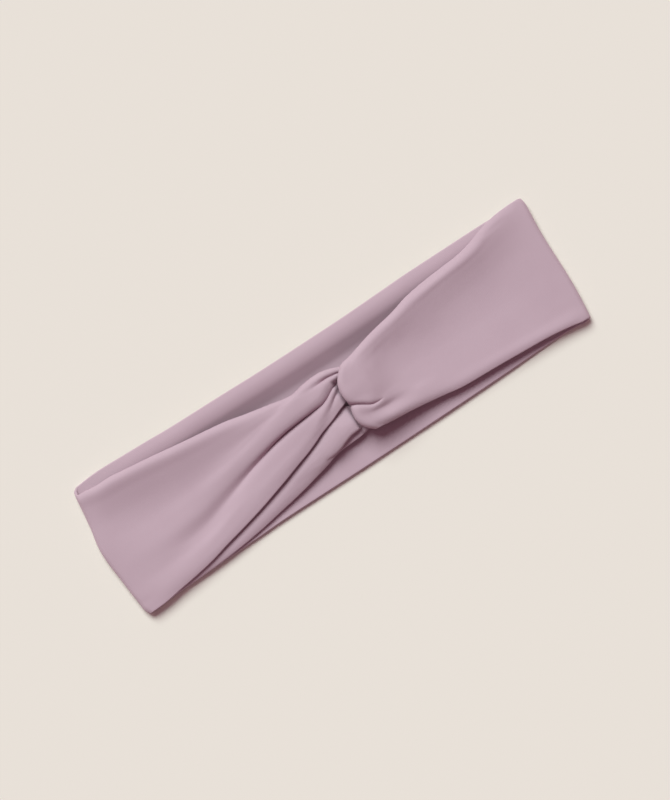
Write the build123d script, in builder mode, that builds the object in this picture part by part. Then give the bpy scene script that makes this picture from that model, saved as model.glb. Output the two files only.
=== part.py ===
"""Knotted headband, folded flat: a double-ply jersey loop whose front is two strips linked like chain links.

Millimetres. +X runs along the band, +Y across its width towards the folded top edge, +Z up off the table.
The origin is at the middle of the back band's underside.

Each strip of the front has an upper leg, a lower leg and the gathered part between them. The left strip turns
sideways at the knot, round the right strip's bend, and the right strip turns downwards, round the left one's.
The loop opens by bending at six lines across the band: the two side seams, and four more that divide the
back and the front in thirds. All six links between those lines have one length, so the loop opens to a ring.
"""

import os

from build123d import *

# Driving dimensions
SEAM_X = 121.0  # from the middle to each side seam, which is a bend line too
PLY = 0.7  # one ply of brushed jersey
BACK_HALF_WIDTH = 31.5  # at the middle of the back band
END_HALF_WIDTH = 32.5  # at the side seams, where the cloth is not drawn in
BODY_GAP = 1.0  # from the back band up to the front, at rest
BEND_CLEARANCE = 0.3  # between links at a bend line
GATHERED_PLY = 1.2  # a ply's bulk where the strip is drawn in to two thirds of its width

# Worked out from them
LINK = 2 * SEAM_X / 3  # each of the six links
BEND_X = LINK / 2  # the bend lines of the back and the front
BACK_TOP = 2 * PLY
FRONT_BOTTOM = BACK_TOP + BODY_GAP
SEAM_Z = (BACK_TOP + FRONT_BOTTOM) / 2  # the side seams' height, halfway, so that the ring closes
LINK_END = BEND_X + BEND_CLEARANCE / 2
KNOT_END = BEND_X - BEND_CLEARANCE / 2
CORNER = 3.0  # the band's corners at the side seams

# Heights of the knot's layers, from the table up
KNOT_CENTRE_Y = -2.0
RIGHT_LOWER_TOP = FRONT_BOTTOM + 3.1
LEFT_LOOP_BOTTOM = RIGHT_LOWER_TOP + 0.4
LEFT_LOOP_TOP = LEFT_LOOP_BOTTOM + 6.2
RIGHT_UPPER_BOTTOM = LEFT_LOOP_TOP + 0.4
RIGHT_UPPER_TOP = RIGHT_UPPER_BOTTOM + 3.7

# The left strip's turn, in plan, and the right strip's bend inside it
LOOP_INNER_RADIUS = 6.0
LOOP_OUTER_RADIUS = 16.5
LOOP_LEG = 6.0  # straight length before the turn
BEND_RADIUS_X = 3.8
BEND_RADIUS_Y = 4.8

# Seam thread
THREAD_RADIUS = 0.175
STITCH = 2.0
STITCH_PITCH = 2.6

# Care label, folded flat on the lining at centre back
LABEL_LENGTH = 22.0
LABEL_WIDTH = 13.0
LABEL_THICKNESS = 0.25
LABEL_STITCHES = 4

made = {}


def keep(part, name):
    """Labels a finished piece and holds it for export."""
    part.label = name
    made[name] = part


def tapered_slab(stations):
    """A soft slab through upright rectangles, one for each (x, (low y, high y), (low z, high z))."""
    with BuildPart() as slab:
        for x, (low_y, high_y), (low_z, high_z) in stations:
            with BuildSketch(Plane.YZ.offset(x)):
                with Locations(((low_y + high_y) / 2, (low_z + high_z) / 2)):
                    Rectangle(high_y - low_y, high_z - low_z)
        loft(ruled=True)
    return slab.part


def back_link(inner_x, outer_x, inner_half, outer_half, bottom):
    """One ply of the back band between a bend line and a side seam, with the seam end's corners rounded."""
    side = 1 if outer_x > 0 else -1
    with BuildPart() as ply:
        with BuildSketch(Plane.XY.offset(bottom)):
            with BuildLine():
                Polyline(
                    (inner_x, -inner_half),
                    (outer_x, -outer_half),
                    (outer_x, outer_half),
                    (inner_x, inner_half),
                    close=True,
                )
            make_face()
        extrude(amount=PLY)
        ends = ply.edges().filter_by(Axis.Z).group_by(Axis.X)
        fillet(ends[-1] if side > 0 else ends[0], radius=CORNER)
    return ply.part


def back_band():
    """The shell, which lies on the table, and the lining over it, each in three links."""
    for cloth, bottom in (("shell", 0.0), ("lining", PLY)):
        with BuildPart() as centre:
            with BuildSketch(Plane.XY.offset(bottom)):
                Rectangle(2 * KNOT_END, 2 * BACK_HALF_WIDTH)
            extrude(amount=PLY)
        keep(centre.part, f"back_{cloth}_centre")
        for side, name in ((-1, "left"), (1, "right")):
            link = back_link(side * LINK_END, side * SEAM_X, BACK_HALF_WIDTH, END_HALF_WIDTH, bottom)
            keep(link, f"back_{cloth}_{name}")


def leg(side, seam_bottom, bend_bottom, bend_width, shell_above):
    """One leg's shell and lining, from the side seam in to the front's bend line."""
    lower, upper = ("lining", "shell") if shell_above else ("shell", "lining")
    plies = {}
    for cloth, layer in ((lower, 0), (upper, 1)):
        seam_z = seam_bottom + layer * PLY
        bend_z = bend_bottom + layer * GATHERED_PLY
        stations = [
            (side * SEAM_X, (-END_HALF_WIDTH, END_HALF_WIDTH), (seam_z, seam_z + PLY)),
            (side * LINK_END, bend_width, (bend_z, bend_z + GATHERED_PLY)),
        ]
        plies[cloth] = tapered_slab(stations)
    return plies


# Where each leg crosses the front's bend line: (low y, high y), and its underside
LEFT_UPPER_AT_BEND = ((-17.6, 20.3), FRONT_BOTTOM + 2 * GATHERED_PLY + 0.2)
LEFT_LOWER_AT_BEND = ((-26.8, 14.0), FRONT_BOTTOM)
RIGHT_UPPER_AT_BEND = ((-22.8, 19.6), FRONT_BOTTOM + 6.0)
RIGHT_LOWER_AT_BEND = ((-20.0, 17.0), FRONT_BOTTOM)


def front_legs():
    """The four legs of the front, each with its shell outside and its lining inside."""
    rows = (
        ("left_upper_leg", -1, 2 * PLY, LEFT_UPPER_AT_BEND, True),
        ("left_lower_leg", -1, 0.0, LEFT_LOWER_AT_BEND, False),
        ("right_upper_leg", 1, 2 * PLY, RIGHT_UPPER_AT_BEND, True),
        ("right_lower_leg", 1, 0.0, RIGHT_LOWER_AT_BEND, False),
    )
    for name, side, rise, (width, bottom), shell_above in rows:
        plies = leg(side, FRONT_BOTTOM + rise, bottom, width, shell_above)
        for cloth, ply in plies.items():
            keep(ply, f"{name}_{cloth}")


def at_bend(side, width_and_bottom):
    """The station where gathers take over from a leg at the front's bend line."""
    width, bottom = width_and_bottom
    return (side * KNOT_END, width, (bottom, bottom + 2 * GATHERED_PLY))


def left_gathers():
    """The left strip's two gathered legs, which run side by side into its turn."""
    inner = KNOT_CENTRE_Y + LOOP_INNER_RADIUS, KNOT_CENTRE_Y - LOOP_INNER_RADIUS
    outer = KNOT_CENTRE_Y + LOOP_OUTER_RADIUS, KNOT_CENTRE_Y - LOOP_OUTER_RADIUS
    loop_height = (LEFT_LOOP_BOTTOM, LEFT_LOOP_TOP)
    gather_x = -18.0
    upper = [
        at_bend(-1, LEFT_UPPER_AT_BEND),
        (gather_x, (-8.5, 15.0), (6.6, 10.6)),
        (0, (inner[0], outer[0]), loop_height),
    ]
    lower = [
        at_bend(-1, LEFT_LOWER_AT_BEND),
        (gather_x, (-21.0, -9.0), (2.6, 6.0)),
        (0, (outer[1], inner[1]), loop_height),
    ]
    keep(tapered_slab(upper), "left_upper_gathers")
    keep(tapered_slab(lower), "left_lower_gathers")


def left_loop():
    """The left strip's turn: a bundle that goes round the right strip's bend, in plan."""
    with BuildPart() as loop:
        with BuildSketch(Plane.XY.offset(LEFT_LOOP_BOTTOM)):
            with Locations((LOOP_LEG, KNOT_CENTRE_Y)):
                Circle(LOOP_OUTER_RADIUS)
            with Locations((LOOP_LEG / 2, KNOT_CENTRE_Y)):
                Rectangle(LOOP_LEG, 2 * LOOP_OUTER_RADIUS)
            with Locations((LOOP_LEG, KNOT_CENTRE_Y)):
                Circle(LOOP_INNER_RADIUS, mode=Mode.SUBTRACT)
            with Locations((LOOP_LEG / 2, KNOT_CENTRE_Y)):
                Rectangle(LOOP_LEG, 2 * LOOP_INNER_RADIUS, mode=Mode.SUBTRACT)
            with Locations((-LOOP_OUTER_RADIUS, KNOT_CENTRE_Y)):
                Rectangle(2 * LOOP_OUTER_RADIUS, 3 * LOOP_OUTER_RADIUS, mode=Mode.SUBTRACT)
        extrude(amount=LEFT_LOOP_TOP - LEFT_LOOP_BOTTOM)
    keep(loop.part, "left_loop")


def right_gathers():
    """The right strip's gathered legs, one over the left strip's turn and one under it."""
    over = [
        at_bend(1, RIGHT_UPPER_AT_BEND),
        (22.0, (-20.5, 15.5), (RIGHT_UPPER_BOTTOM, RIGHT_UPPER_BOTTOM + 3.0)),
        (5.5, (-19.0, 12.5), (RIGHT_UPPER_BOTTOM, RIGHT_UPPER_TOP)),
        (2.7, (-8.0, 4.0), (RIGHT_UPPER_BOTTOM, RIGHT_UPPER_BOTTOM + 2.4)),
    ]
    under = [
        at_bend(1, RIGHT_LOWER_AT_BEND),
        (22.0, (-16.0, 12.0), (FRONT_BOTTOM, FRONT_BOTTOM + 2.8)),
        (2.7, (-10.0, 6.0), (FRONT_BOTTOM, RIGHT_LOWER_TOP)),
    ]
    keep(tapered_slab(over), "right_upper_gathers")
    keep(tapered_slab(under), "right_lower_gathers")


def right_bend():
    """The right strip's bend: the bundle that drops between the left strip's legs."""
    with BuildPart() as bend:
        with BuildSketch(Plane.XY.offset(RIGHT_LOWER_TOP)):
            with Locations((LOOP_LEG + 0.5, KNOT_CENTRE_Y)):
                Ellipse(BEND_RADIUS_X, BEND_RADIUS_Y)
        extrude(amount=RIGHT_UPPER_BOTTOM - RIGHT_LOWER_TOP)
    keep(bend.part, "right_bend")


def side_seams():
    """The thread that joins the front's four plies to the back's two along each side."""
    count = int((2 * END_HALF_WIDTH - 2 * CORNER) / STITCH_PITCH)
    for side, name in ((-1, "left"), (1, "right")):
        with BuildPart(Plane.XY.offset(SEAM_Z)) as seam:
            with Locations((side * SEAM_X, 0)):
                with GridLocations(1, STITCH_PITCH, 1, count):
                    Cylinder(THREAD_RADIUS, STITCH, rotation=(90, 0, 0))
        keep(seam.part, f"{name}_side_seam")


def care_label():
    """A blank label on the lining at centre back, and the stitches along its two short ends."""
    with BuildPart(Plane.XY.offset(BACK_TOP)) as label:
        Box(LABEL_LENGTH, LABEL_WIDTH, LABEL_THICKNESS, align=(Align.CENTER, Align.CENTER, Align.MIN))
    keep(label.part, "care_label")
    spacing = LABEL_LENGTH - STITCH_PITCH
    pitch = LABEL_WIDTH / LABEL_STITCHES
    with BuildPart(Plane.XY.offset(BACK_TOP + LABEL_THICKNESS + THREAD_RADIUS)) as stitches:
        with GridLocations(spacing, pitch, 2, LABEL_STITCHES):
            Cylinder(THREAD_RADIUS, STITCH, rotation=(90, 0, 0))
    keep(stitches.part, "care_label_stitches")


back_band()
front_legs()
left_gathers()
left_loop()
right_gathers()
right_bend()
side_seams()
care_label()

os.makedirs("parts", exist_ok=True)
for name, part in made.items():
    export_step(part, f"parts/{name}.step")
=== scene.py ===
"""Looks of a knotted headband that lies folded flat: two linked jersey strips on a plain back band.

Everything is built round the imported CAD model, in its frame: +X along the band, +Y across it towards the top
edge, +Z up off the table. Lengths in this file are millimetres until mm() turns them into Blender's metres.

A strip is a sheet of cloth, two plies sewn and turned. It is described by its fold lines: edges, crests and
creases that run along it, each given by a few points. Splines through those lines make the sheet's middle
surface, and a shell round that surface makes the cloth's two faces and its soft edges.
"""

import logging
import math
from dataclasses import dataclass
from enum import Enum

import bpy
import numpy as np
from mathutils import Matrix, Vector


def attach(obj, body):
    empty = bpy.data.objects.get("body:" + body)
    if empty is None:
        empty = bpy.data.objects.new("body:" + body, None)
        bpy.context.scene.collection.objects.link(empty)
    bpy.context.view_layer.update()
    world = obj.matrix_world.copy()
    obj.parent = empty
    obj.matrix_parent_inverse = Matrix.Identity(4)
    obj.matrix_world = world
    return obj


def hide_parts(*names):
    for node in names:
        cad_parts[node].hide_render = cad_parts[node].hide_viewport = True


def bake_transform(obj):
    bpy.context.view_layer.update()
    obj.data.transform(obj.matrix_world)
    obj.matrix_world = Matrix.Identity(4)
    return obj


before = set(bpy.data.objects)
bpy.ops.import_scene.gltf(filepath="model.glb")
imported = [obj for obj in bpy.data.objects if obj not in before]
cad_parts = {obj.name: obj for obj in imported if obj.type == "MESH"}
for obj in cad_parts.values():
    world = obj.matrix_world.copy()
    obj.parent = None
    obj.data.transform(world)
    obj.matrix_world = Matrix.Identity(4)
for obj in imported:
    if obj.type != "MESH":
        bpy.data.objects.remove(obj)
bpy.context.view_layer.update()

LOG = logging.getLogger("headband")

Point = tuple[float, float, float]
Line = tuple[Point, ...]

MM_PER_M = 1000.0
PLY_PAIR = 1.35  # two plies of jersey
SEAM_X = 121.0  # the side seams, on the hinge axes
SIDE_Y_STEP = 1.0  # half the stretch of side fold that a stitch's slant is taken from


def mm(value: float) -> float:
    """Millimetres as Blender's metres."""
    return value / MM_PER_M


# ---------------------------------------------------------------------------------------------------------
# Splines and cloth shells
# ---------------------------------------------------------------------------------------------------------


def hermite(t: np.ndarray, gap: np.ndarray, start: np.ndarray, leaving: np.ndarray, end: np.ndarray,
            arriving: np.ndarray) -> np.ndarray:
    """A cubic across one gap, from its values and slopes at both ends.

    Args:
        t: How far across the gap, from 0 to 1.
        gap: The gap's length.
        start: The value at its start.
        leaving: The slope there.
        end: The value at its end.
        arriving: The slope there.

    Returns:
        The values at t.
    """
    return (
        (2 * t**3 - 3 * t**2 + 1) * start
        + (t**3 - 2 * t**2 + t) * gap * leaving
        + (3 * t**2 - 2 * t**3) * end
        + (t**3 - t**2) * gap * arriving
    )


def value_along(xs: np.ndarray, values: np.ndarray, at: np.ndarray) -> np.ndarray:
    """Monotone cubic through (x, value) pairs, level beyond both ends.

    Args:
        xs: Places, rising.
        values: The value at each place.
        at: Places to find the value at.

    Returns:
        The values at those places.
    """
    gaps = np.diff(xs)
    slopes = np.diff(values) / gaps
    tangents = np.zeros_like(values)
    same_way = slopes[:-1] * slopes[1:] > 0
    before = 2 * gaps[1:] + gaps[:-1]
    after = gaps[1:] + 2 * gaps[:-1]
    with np.errstate(divide="ignore", invalid="ignore"):
        mean = (before + after) / (before / slopes[:-1] + after / slopes[1:])
    tangents[1:-1] = np.where(same_way, mean, 0.0)
    tangents[0], tangents[-1] = slopes[0], slopes[-1]
    at = np.clip(at, xs[0], xs[-1])
    i = np.clip(np.searchsorted(xs, at, side="right") - 1, 0, len(gaps) - 1)
    t = (at - xs[i]) / gaps[i]
    return hermite(t, gaps[i], values[i], tangents[i], values[i + 1], tangents[i + 1])


def along_line(line: Line, at: np.ndarray) -> np.ndarray:
    """Points on a line that is given by (x, y, z) points, at the places x.

    Args:
        line: The line's points, with x rising or falling.
        at: The x of each wanted point.

    Returns:
        Array of shape (len(at), 3).
    """
    points = np.array(line, float)
    points = points[np.argsort(points[:, 0])]
    y = value_along(points[:, 0], points[:, 1], at)
    z = value_along(points[:, 0], points[:, 2], at)
    return np.stack([at, y, z], axis=-1)


def smooth_through(points: np.ndarray, counts: list[int]) -> np.ndarray:
    """Centripetal Catmull-Rom spline through points along the first axis.

    Args:
        points: Shape (stations, ..., 3).
        counts: How many steps to take in each gap between stations.

    Returns:
        Shape (sum of counts + 1, ..., 3).
    """
    steps = np.diff(points, axis=0)
    knots = np.maximum(np.linalg.norm(steps, axis=-1, keepdims=True), 1e-4) ** 0.5
    slopes = steps / knots
    tangents = np.empty_like(points)
    tangents[1:-1] = (knots[1:] * slopes[:-1] + knots[:-1] * slopes[1:]) / (knots[:-1] + knots[1:])
    tangents[0] = 1.5 * slopes[0] - 0.5 * tangents[1]
    tangents[-1] = 1.5 * slopes[-1] - 0.5 * tangents[-2]
    rows = []
    for k, count in enumerate(counts):
        t = (np.arange(count) / count).reshape((-1,) + (1,) * (points.ndim - 1))
        rows.append(hermite(t, knots[k], points[k], tangents[k], points[k + 1], tangents[k + 1]))
    rows.append(points[-1:])
    return np.concatenate(rows, axis=0)


def surface_through(net: np.ndarray, row_step: float, columns_per_gap: int) -> tuple[np.ndarray, list[int]]:
    """A smooth surface through a net of points.

    Args:
        net: Shape (stations along, lines across, 3).
        row_step: About how far apart the surface's rows are.
        columns_per_gap: Columns between one line and the next.

    Returns:
        The surface, of shape (rows, columns, 3), and the row on which each station lies.
    """
    lengths = np.linalg.norm(np.diff(net, axis=0), axis=-1).mean(axis=1)
    counts = [max(1, round(length / row_step)) for length in lengths]
    rows = smooth_through(net, counts)
    across = smooth_through(np.swapaxes(rows, 0, 1), [columns_per_gap] * (net.shape[1] - 1))
    return np.swapaxes(across, 0, 1), [0, *np.cumsum(counts).tolist()]


def unit(vectors: np.ndarray) -> np.ndarray:
    """Vectors scaled to length 1."""
    return vectors / np.maximum(np.linalg.norm(vectors, axis=-1, keepdims=True), 1e-9)


def inset_edges(surface: np.ndarray, inset: float) -> np.ndarray:
    """Draws a surface's two long edges in, so that a rounded rim ends where the edges were.

    Args:
        surface: Shape (rows, columns, 3).
        inset: How far, along the surface.

    Returns:
        The surface, with every row spread again between its new ends.
    """
    steps = np.linalg.norm(np.diff(surface, axis=1), axis=-1)
    run = np.concatenate([np.zeros((len(surface), 1)), np.cumsum(steps, axis=1)], axis=1)
    out = np.empty_like(surface)
    for row, (points, places) in enumerate(zip(surface, run)):
        total = places[-1]
        wanted = inset + places * (total - 2 * inset) / total
        for axis in range(3):
            out[row, :, axis] = np.interp(wanted, places, points[:, axis])
    return out


@dataclass(frozen=True)
class Shell:
    """The outer surface of a sheet of cloth: rings round the sheet, one for each row along it.

    points is (rows, ring, 3) in millimetres, normals the same, and uv is (rows, ring + 1, 2) in millimetres
    of cloth, with the ring's first column given twice because the pattern meets itself there.
    """

    points: np.ndarray
    normals: np.ndarray
    uv: np.ndarray
    columns: int
    rim: int

    def rows(self, first: int, last: int) -> "Shell":
        """A part of the shell.

        Args:
            first: Its first row.
            last: Its last row, which is included.

        Returns:
            The part.
        """
        part = slice(first, last + 1)
        return Shell(self.points[part], self.normals[part], self.uv[part], self.columns, self.rim)


RIM_STEPS = 7
RIM_GROOVE = 0.28  # the seam between the plies draws the middle of an edge in, as a share of its radius
RIM_GROOVE_WIDTH = 0.30


def shell_round(surface: np.ndarray, thickness: float, flat_width: float) -> Shell:
    """Gives a sheet its thickness, with soft edges in which the seam between the plies shows as a groove.

    Args:
        surface: The sheet's middle, (rows, columns, 3). Its upper face is on the side of columns x rows.
        thickness: Both plies together.
        flat_width: The sheet's width before it was gathered, for the pattern.

    Returns:
        The closed rings round the sheet.
    """
    half = thickness / 2
    middle = inset_edges(surface, half)
    along = np.gradient(middle, axis=0)
    across = np.gradient(middle, axis=1)
    normal = unit(np.cross(across, along))
    top = middle + normal * half
    bottom = middle - normal * half
    rims = []
    angles = np.linspace(math.pi / 2, -math.pi / 2, RIM_STEPS + 2)[1:-1]
    for edge in (-1, 0):
        outward = unit(across[:, edge]) * (1 if edge == -1 else -1)
        n = normal[:, edge]
        outward = unit(outward - (outward * n).sum(-1, keepdims=True) * n)
        sweep = angles if edge == -1 else -angles
        groove = 1 - RIM_GROOVE * np.exp(-((sweep / RIM_GROOVE_WIDTH) ** 2))
        rims.append(
            middle[:, edge, None]
            + half * (np.cos(sweep) * groove)[None, :, None] * outward[:, None]
            + half * np.sin(sweep)[None, :, None] * n[:, None]
        )
    ring = np.concatenate([top, rims[0], bottom[:, ::-1], rims[1]], axis=1)
    closed = np.concatenate([ring[:, -1:], ring, ring[:, :1]], axis=1)
    round_it = (closed[:, 2:] - closed[:, :-2]) / 2
    normals = unit(np.cross(round_it, np.gradient(ring, axis=0)))
    steps = np.linalg.norm(np.diff(middle, axis=0), axis=-1).mean(axis=1)
    length = np.concatenate([[0.0], np.cumsum(steps)])
    runs = np.linalg.norm(np.diff(np.concatenate([ring, ring[:, :1]], axis=1), axis=1), axis=-1)
    share = np.concatenate([np.zeros((len(ring), 1)), np.cumsum(runs, axis=1)], axis=1)
    share = share / share[:, -1:]
    uv = np.stack([np.repeat(length[:, None], share.shape[1], axis=1), share * 2 * flat_width], axis=-1)
    return Shell(ring, normals, uv, middle.shape[1], RIM_STEPS)


def ripple(surface: np.ndarray, height: float) -> np.ndarray:
    """Lays faint, uneven waves on a sheet, as cloth that has been handled has.

    Args:
        surface: Shape (rows, columns, 3).
        height: The waves' usual height.

    Returns:
        The surface with its heights changed a little.
    """
    x, y = surface[..., 0], surface[..., 1]
    waves = (
        np.sin(x / 11.0 + y / 7.3 + 0.7)
        + np.sin(x / 17.0 - y / 9.1 + 2.1)
        + 0.7 * np.sin(x / 6.1 + y / 13.0 + 4.0)
        + 0.6 * np.sin(y / 4.7 - x / 29.0 + 1.2)
    )
    out = surface.copy()
    out[..., 2] += height * waves / 2
    return out


@dataclass(frozen=True)
class Pucker:
    """A short groove pressed into the front of a sheet, from one place to another."""

    start: tuple[float, float]
    end: tuple[float, float]
    depth: float
    width: float
    above: float = 4.2

    def press(self, surface: np.ndarray) -> np.ndarray:
        """Presses this groove into a sheet, where the sheet lies higher than above.

        Args:
            surface: Shape (rows, columns, 3).

        Returns:
            The surface with the groove in it.
        """
        start = np.array(self.start)
        run = np.array(self.end) - start
        offset = surface[..., :2] - start
        t = np.clip((offset * run).sum(-1) / (run * run).sum(), 0, 1)
        away = np.linalg.norm(offset - t[..., None] * run, axis=-1)
        fade = np.sin(math.pi * t) ** 0.7
        out = surface.copy()
        groove = self.depth * fade * np.exp(-((away / self.width) ** 2))
        out[..., 2] -= np.where(surface[..., 2] > self.above, groove, 0)
        return out


def mesh_from_shell(name: str, shell: Shell) -> bpy.types.Object:
    """Makes a closed mesh object from a cloth shell, shaded as part of the whole run of cloth.

    Args:
        name: The piece's name.
        shell: The rings round the cloth.

    Returns:
        The new object, at the origin.
    """
    rows, ring = shell.points.shape[:2]
    index = np.arange(rows * ring).reshape(rows, ring)
    after = np.roll(index, -1, axis=1)
    sides = np.stack([index[:-1], after[:-1], after[1:], index[1:]], axis=-1).reshape(-1, 4)
    columns, rim = shell.columns, shell.rim
    caps = []
    for end, flip in ((index[0], True), (index[-1], False)):
        top = end[:columns]
        right = end[columns : columns + rim]
        bottom = end[columns + rim : 2 * columns + rim][::-1]
        left = end[2 * columns + rim :][::-1]
        strip = [(top[j], top[j + 1], bottom[j + 1], bottom[j]) for j in range(columns - 1)]
        strip.append((top[-1], *right, bottom[-1]))
        strip.append((bottom[0], *left[::-1], top[0]))
        caps += [tuple(reversed(face)) if flip else face for face in strip]
    faces = [tuple(int(v) for v in face) for face in sides]
    faces += [tuple(int(v) for v in face) for face in caps]
    data = bpy.data.meshes.new(name)
    data.from_pydata([tuple(p) for p in shell.points.reshape(-1, 3) / MM_PER_M], [], faces)
    data.update()
    layer = data.uv_layers.new(name="cloth")
    uv = np.zeros((len(data.loops), 2))
    r, c = np.divmod(np.arange((rows - 1) * ring), ring)
    around = (shell.uv[r, c], shell.uv[r, c + 1], shell.uv[r + 1, c + 1], shell.uv[r + 1, c])
    corners = np.stack(around, axis=1)
    uv[: len(r) * 4] = corners.reshape(-1, 2)
    flat_uv = shell.uv[:, :-1].reshape(-1, 2)
    vertex_of = np.zeros(len(data.loops), int)
    data.loops.foreach_get("vertex_index", vertex_of)
    uv[len(r) * 4 :] = flat_uv[vertex_of[len(r) * 4 :]]
    layer.data.foreach_set("uv", (uv / MM_PER_M).ravel())
    smooth = np.zeros(len(data.polygons), bool)
    smooth[: len(sides)] = True
    data.polygons.foreach_set("use_smooth", smooth)
    data.normals_split_custom_set_from_vertices([tuple(n) for n in shell.normals.reshape(-1, 3)])
    piece = bpy.data.objects.new(name, data)
    bpy.context.scene.collection.objects.link(piece)
    return piece


# ---------------------------------------------------------------------------------------------------------
# The cloth's fold lines
# ---------------------------------------------------------------------------------------------------------

Section = tuple[float, tuple[tuple[float, float], ...]]

# The left strip's upper leg, from its outer (top) edge to the slit between the two legs
LEFT_UPPER: dict[str, Line] = {
    "outer edge": (
        (-119, 32.0, 4.2), (-116, 29.9, 4.4), (-113, 28.4, 5.0), (-103, 28.3, 5.9), (-93, 27.3, 6.5),
        (-81, 25.8, 6.9), (-70, 24.2, 7.0), (-60, 22.8, 7.0), (-45, 20.8, 7.0), (-33, 18.1, 7.1),
        (-21.5, 15.7, 7.4), (-12, 13.2, 7.2), (-4, 12.2, 7.0), (10, 12.0, 7.4),
    ),
    "outer ridge": (
        (-119, 29.5, 4.6), (-113, 26.2, 6.1), (-103, 25.9, 7.3), (-93, 24.9, 7.8), (-81, 23.3, 8.2),
        (-70, 21.5, 8.3), (-60, 20.3, 8.3), (-45, 18.2, 8.4), (-33, 15.9, 8.5), (-21.5, 14.1, 8.8),
        (-12, 13.7, 8.9), (-5.3, 14.9, 9.1), (1.9, 15.4, 9.6), (7.3, 14.6, 9.9), (10, 13.6, 10.0),
    ),
    "outer slope": (
        (-119, 24.0, 4.5), (-113, 21.0, 5.4), (-98, 20.0, 6.2), (-78, 17.6, 7.0), (-60, 15.6, 7.4),
        (-45, 14.4, 8.0), (-33, 13.0, 8.7), (-21.5, 12.6, 9.2), (-12, 12.9, 10.0), (-3, 13.8, 10.8),
        (3, 13.7, 11.0), (10, 12.6, 10.6),
    ),
    "trough, then short crease": (
        (-119, 15.0, 4.4), (-113, 13.0, 4.4), (-98, 11.8, 4.5), (-78, 10.0, 5.4), (-60, 9.0, 6.1),
        (-45, 9.2, 7.2), (-33, 10.4, 8.5), (-24, 11.3, 9.3), (-12, 11.8, 10.7), (-5, 11.7, 10.9),
        (0, 11.7, 10.3), (5.5, 12.0, 8.8), (10, 11.5, 8.7),
    ),
    "first ridge, far side": (
        (-119, 7.0, 4.4), (-98, 4.5, 4.1), (-78, 4.0, 4.9), (-60, 4.7, 5.9), (-45, 6.1, 7.5),
        (-33, 8.0, 9.0), (-24, 9.3, 10.0), (-12, 9.9, 11.0), (-5, 9.9, 11.2), (0, 10.3, 11.1),
        (5.5, 11.0, 10.5), (10, 10.7, 9.8),
    ),
    "first ridge": (
        (-119, -1.0, 4.5), (-98, -2.5, 4.7), (-78, -2.2, 5.5), (-60, 0.6, 6.5), (-45, 3.1, 7.9),
        (-33, 4.6, 9.3), (-24, 5.1, 10.2), (-12, 5.7, 11.0), (-5, 6.1, 11.3), (0, 7.7, 11.3),
        (3, 9.4, 11.1), (6.4, 10.2, 10.7), (10, 10.2, 10.0),
    ),
    "first ridge, lip": (
        (-119, -9.0, 4.5), (-98, -9.0, 5.2), (-78, -7.8, 5.6), (-60, -4.0, 6.0), (-45, -1.0, 7.2),
        (-36, 0.6, 8.1), (-27, 2.1, 8.9), (-18, 3.0, 9.5), (-9, 3.6, 9.9), (-2.6, 4.0, 9.9),
        (-0.8, 4.6, 9.9), (2.8, 6.5, 9.8), (6.4, 8.3, 9.8), (10, 9.7, 9.7),
    ),
    "valley": (
        (-119, -15.5, 4.4), (-98, -15.0, 4.9), (-90, -14.8, 4.6), (-78, -13.5, 4.1), (-60, -8.5, 4.3),
        (-45, -3.9, 5.0), (-36, -1.1, 5.4), (-27, 1.4, 5.6), (-18, 2.9, 5.7), (-9, 3.5, 5.8),
        (-2.6, 3.8, 6.2), (-0.8, 4.2, 6.8), (2.8, 5.8, 7.8), (6.4, 7.6, 8.3), (10, 9.1, 8.6),
    ),
    "second ridge, far side": (
        (-119, -20.0, 4.4), (-98, -19.3, 4.8), (-78, -17.2, 4.7), (-60, -11.8, 5.3), (-45, -6.6, 6.5),
        (-36, -3.8, 7.2), (-27, -1.6, 7.7), (-18, 0.1, 8.3), (-9, 1.4, 8.8), (-4.4, 2.2, 9.1),
        (-0.8, 3.1, 9.2), (2.8, 4.9, 9.4), (6.4, 6.8, 9.4), (10, 8.5, 9.3),
    ),
    "second ridge": (
        (-119, -25.0, 4.5), (-98, -23.3, 5.3), (-78, -20.4, 5.8), (-60, -15.0, 6.2), (-45, -11.2, 7.2),
        (-36, -8.9, 7.9), (-27, -6.9, 8.4), (-18, -4.9, 8.9), (-9, -1.9, 9.7), (-4.4, 0.2, 10.1),
        (0, 2.5, 10.4), (5.5, 5.9, 10.4), (8, 7.1, 10.2), (10, 7.9, 9.9),
    ),
    "second crease": (
        (-119, -27.5, 4.4), (-98, -26.2, 5.5), (-78, -23.0, 6.0), (-60, -17.6, 6.4), (-45, -13.7, 7.4),
        (-36, -11.2, 8.1), (-27, -9.0, 8.6), (-18, -6.9, 8.9), (-9, -4.1, 9.4), (-1.7, -0.8, 9.5),
        (3.7, 2.9, 9.1), (7.3, 5.1, 8.9), (10, 6.8, 8.8),
    ),
    "third ridge": (
        (-119, -30.0, 4.4), (-98, -28.7, 5.3), (-78, -25.3, 5.9), (-60, -20.2, 6.4), (-45, -16.2, 7.2),
        (-36, -13.6, 7.9), (-27, -11.1, 8.4), (-18, -8.5, 8.6), (-9, -5.6, 8.9), (-1.7, -2.6, 9.2),
        (3.7, 0.6, 9.6), (7.3, 2.6, 9.7), (10, 4.6, 9.5),
    ),
    "slit edge": (
        (-119, -33.4, 4.3), (-116, -33.3, 4.4), (-110, -32.9, 4.4), (-103, -31.8, 4.5), (-93, -30.4, 4.8),
        (-81, -28.3, 5.2), (-70, -25.5, 5.6), (-60, -23.4, 5.9), (-45, -19.4, 6.6), (-36, -16.7, 7.1),
        (-27, -13.8, 7.5), (-18, -11.0, 7.9), (-9, -7.3, 8.3), (-3.5, -5.7, 8.7), (1.9, -3.5, 9.0),
        (7.2, -1.4, 9.0), (10, 1.4, 8.9),
    ),
}

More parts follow.
